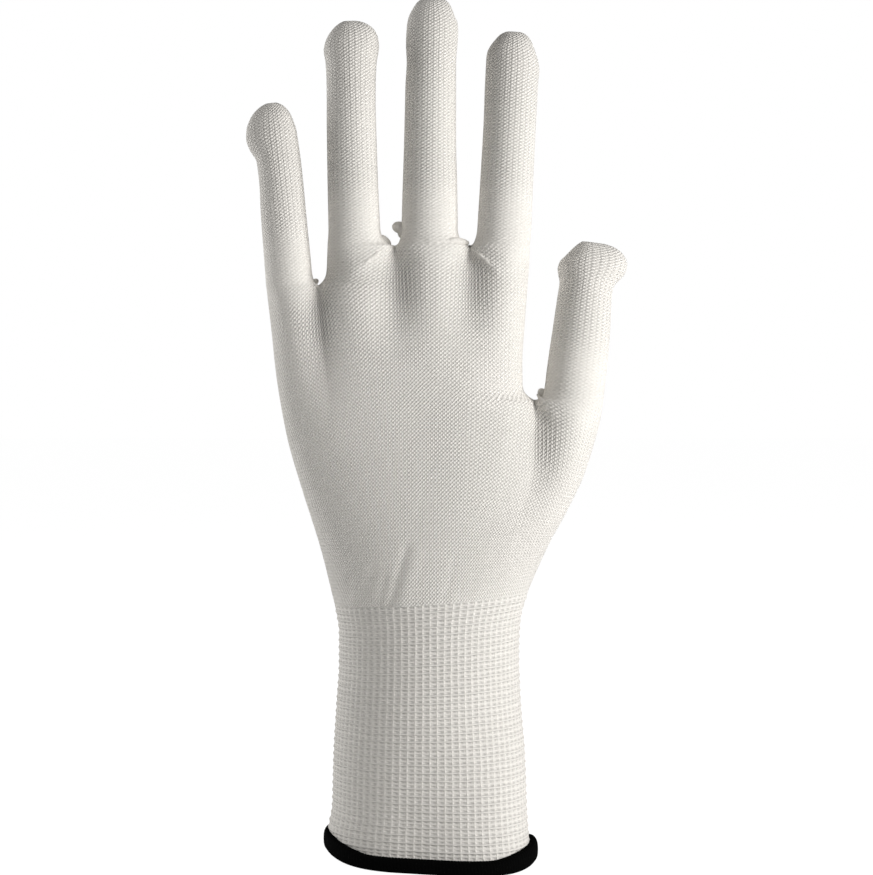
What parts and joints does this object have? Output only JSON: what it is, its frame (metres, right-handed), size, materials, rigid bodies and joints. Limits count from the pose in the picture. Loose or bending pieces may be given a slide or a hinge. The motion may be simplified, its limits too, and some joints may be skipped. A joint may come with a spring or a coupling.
{
  "type": "cut resistant glove",
  "caption": "Seamless knitted work glove for a left hand, with a long elastic cuff and an overlocked hem; it bends at the wrist, at each stall and at the knuckles.",
  "frame": {"origin": "centre of the wrist opening, on the flat underside of the overlocked hem", "axes": "+Z from the hem to the fingertips, +X towards the thumb, +Y towards the palm"},
  "size_m": [0.1077, 0.05, 0.2584],
  "materials": {
    "hand_knit": "off-white filament and glass yarn, plain knit, matt",
    "cuff_knit": "off-white yarn in a tuck knit of raised courses and small hollows, matt",
    "join_stitches": "crossed stitches of the same yarn, pulled tight",
    "elastic_thread": "covered elastic thread, off-white",
    "hem_thread": "black overlock thread, dense and slightly glossy"
  },
  "bodies": {
    "cuff": {"cuff": "cuff_knit", "cuff_elastic_threads": "elastic_thread", "overlock_hem": "hem_thread", "wrist_fold_band": "hand_knit"},
    "hand": {"five_finger_section": "hand_knit", "four_finger_section": "hand_knit", "three_finger_section": "hand_knit", "little_ring_crotch_join": "join_stitches", "ring_middle_crotch_join": "join_stitches", "middle_index_crotch_join": "join_stitches", "thumb_crotch_join": "join_stitches", "little_root": "hand_knit", "little_base_fold_band": "hand_knit", "ring_root": "hand_knit", "ring_base_fold_band": "hand_knit", "middle_root": "hand_knit", "middle_base_fold_band": "hand_knit", "index_root": "hand_knit", "index_base_fold_band": "hand_knit", "thumb_root": "hand_knit", "thumb_base_fold_band": "hand_knit"},
    "little_lower_segment": {"little_lower": "hand_knit", "little_middle_fold_band": "hand_knit"},
    "little_middle_segment": {"little_middle": "hand_knit", "little_tip_fold_band": "hand_knit"},
    "little_end_segment": {"little_end": "hand_knit"},
    "ring_lower_segment": {"ring_lower": "hand_knit", "ring_middle_fold_band": "hand_knit"},
    "ring_middle_segment": {"ring_middle": "hand_knit", "ring_tip_fold_band": "hand_knit"},
    "ring_end_segment": {"ring_end": "hand_knit"},
    "middle_lower_segment": {"middle_lower": "hand_knit", "middle_middle_fold_band": "hand_knit"},
    "middle_middle_segment": {"middle_middle": "hand_knit", "middle_tip_fold_band": "hand_knit"},
    "middle_end_segment": {"middle_end": "hand_knit"},
    "index_lower_segment": {"index_lower": "hand_knit", "index_middle_fold_band": "hand_knit"},
    "index_middle_segment": {"index_middle": "hand_knit", "index_tip_fold_band": "hand_knit"},
    "index_end_segment": {"index_end": "hand_knit"},
    "thumb_lower_segment": {"thumb_lower": "hand_knit", "thumb_tip_fold_band": "hand_knit"},
    "thumb_end_segment": {"thumb_end": "hand_knit"}
  },
  "joints": [
    {"name": "wrist_bend", "type": "hinge", "parent": "cuff", "child": "hand", "pos_m": [0, 0, 0.08], "axis": [-1, 0, 0], "range_deg": [-40, 50], "stiffness_Nm_per_rad": 0.08, "deforming": ["wrist_fold_band"]},
    {"name": "little_base_fold", "type": "hinge", "parent": "hand", "child": "little_lower_segment", "pos_m": [-0.04274, 0.00039, 0.17944], "axis": [-0.9938, 0, -0.1115], "range_deg": [-10, 68], "stiffness_Nm_per_rad": 0.012, "deforming": ["little_base_fold_band"]},
    {"name": "little_middle_fold", "type": "hinge", "parent": "little_lower_segment", "child": "little_middle_segment", "pos_m": [-0.04429, 0.00112, 0.19334], "axis": [-0.9938, 0, -0.1115], "range_deg": [0, 80], "stiffness_Nm_per_rad": 0.012, "deforming": ["little_middle_fold_band"]},
    {"name": "little_tip_fold", "type": "hinge", "parent": "little_middle_segment", "child": "little_end_segment", "pos_m": [-0.04607, 0.00196, 0.20922], "axis": [-0.9938, 0, -0.1115], "range_deg": [0, 40], "stiffness_Nm_per_rad": 0.012, "deforming": ["little_tip_fold_band"]},
    {"name": "ring_base_fold", "type": "hinge", "parent": "hand", "child": "ring_lower_segment", "pos_m": [-0.02274, 0.00044, 0.19248], "axis": [-0.9996, 0, -0.0279], "range_deg": [-10, 68], "stiffness_Nm_per_rad": 0.012, "deforming": ["ring_base_fold_band"]},
    {"name": "ring_middle_fold", "type": "hinge", "parent": "ring_lower_segment", "child": "ring_middle_segment", "pos_m": [-0.02321, 0.00134, 0.20946], "axis": [-0.9996, 0, -0.0279], "range_deg": [0, 80], "stiffness_Nm_per_rad": 0.012, "deforming": ["ring_middle_fold_band"]},
    {"name": "ring_tip_fold", "type": "hinge", "parent": "ring_middle_segment", "child": "ring_end_segment", "pos_m": [-0.0238, 0.00243, 0.23042], "axis": [-0.9996, 0, -0.0279], "range_deg": [0, 40], "stiffness_Nm_per_rad": 0.012, "deforming": ["ring_tip_fold_band"]},
    {"name": "middle_base_fold", "type": "hinge", "parent": "hand", "child": "middle_lower_segment", "pos_m": [-0.00028, 0.0005, 0.19349], "axis": [-0.9999, 0, 0.0122], "range_deg": [-10, 68], "stiffness_Nm_per_rad": 0.012, "deforming": ["middle_base_fold_band"]},
    {"name": "middle_middle_fold", "type": "hinge", "parent": "middle_lower_segment", "child": "middle_middle_segment", "pos_m": [-0.00006, 0.00144, 0.21146], "axis": [-0.9999, 0, 0.0122], "range_deg": [0, 80], "stiffness_Nm_per_rad": 0.012, "deforming": ["middle_middle_fold_band"]},
    {"name": "middle_tip_fold", "type": "hinge", "parent": "middle_middle_segment", "child": "middle_end_segment", "pos_m": [0.00022, 0.00267, 0.23493], "axis": [-0.9999, 0, 0.0122], "range_deg": [0, 40], "stiffness_Nm_per_rad": 0.012, "deforming": ["middle_tip_fold_band"]},
    {"name": "index_base_fold", "type": "hinge", "parent": "hand", "child": "index_lower_segment", "pos_m": [0.02214, 0.00044, 0.19248], "axis": [-0.9986, 0, 0.0523], "range_deg": [-10, 68], "stiffness_Nm_per_rad": 0.012, "deforming": ["index_base_fold_band"]},
    {"name": "index_middle_fold", "type": "hinge", "parent": "index_lower_segment", "child": "index_middle_segment", "pos_m": [0.02301, 0.00131, 0.20893], "axis": [-0.9986, 0, 0.0523], "range_deg": [0, 80], "stiffness_Nm_per_rad": 0.012, "deforming": ["index_middle_fold_band"]},
    {"name": "index_tip_fold", "type": "hinge", "parent": "index_middle_segment", "child": "index_end_segment", "pos_m": [0.024, 0.0023, 0.22788], "axis": [-0.9986, 0, 0.0523], "range_deg": [0, 40], "stiffness_Nm_per_rad": 0.012, "deforming": ["index_tip_fold_band"]},
    {"name": "thumb_base_fold", "type": "hinge", "parent": "hand", "child": "thumb_lower_segment", "pos_m": [0.043, 0.00207, 0.14686], "axis": [-0.8598, -0.4964, 0.1201], "range_deg": [-10, 50], "stiffness_Nm_per_rad": 0.012, "deforming": ["thumb_base_fold_band"]},
    {"name": "thumb_tip_fold", "type": "hinge", "parent": "thumb_lower_segment", "child": "thumb_end_segment", "pos_m": [0.04381, 0.00521, 0.16558], "axis": [-0.8598, -0.4964, 0.1201], "range_deg": [-10, 60], "stiffness_Nm_per_rad": 0.012, "deforming": ["thumb_tip_fold_band"]}
  ],
  "couplings": [
    {"joint": "little_tip_fold", "follows": "little_middle_fold", "ratio": 0.5},
    {"joint": "ring_tip_fold", "follows": "ring_middle_fold", "ratio": 0.5},
    {"joint": "middle_tip_fold", "follows": "middle_middle_fold", "ratio": 0.5},
    {"joint": "index_tip_fold", "follows": "index_middle_fold", "ratio": 0.5}
  ]
}
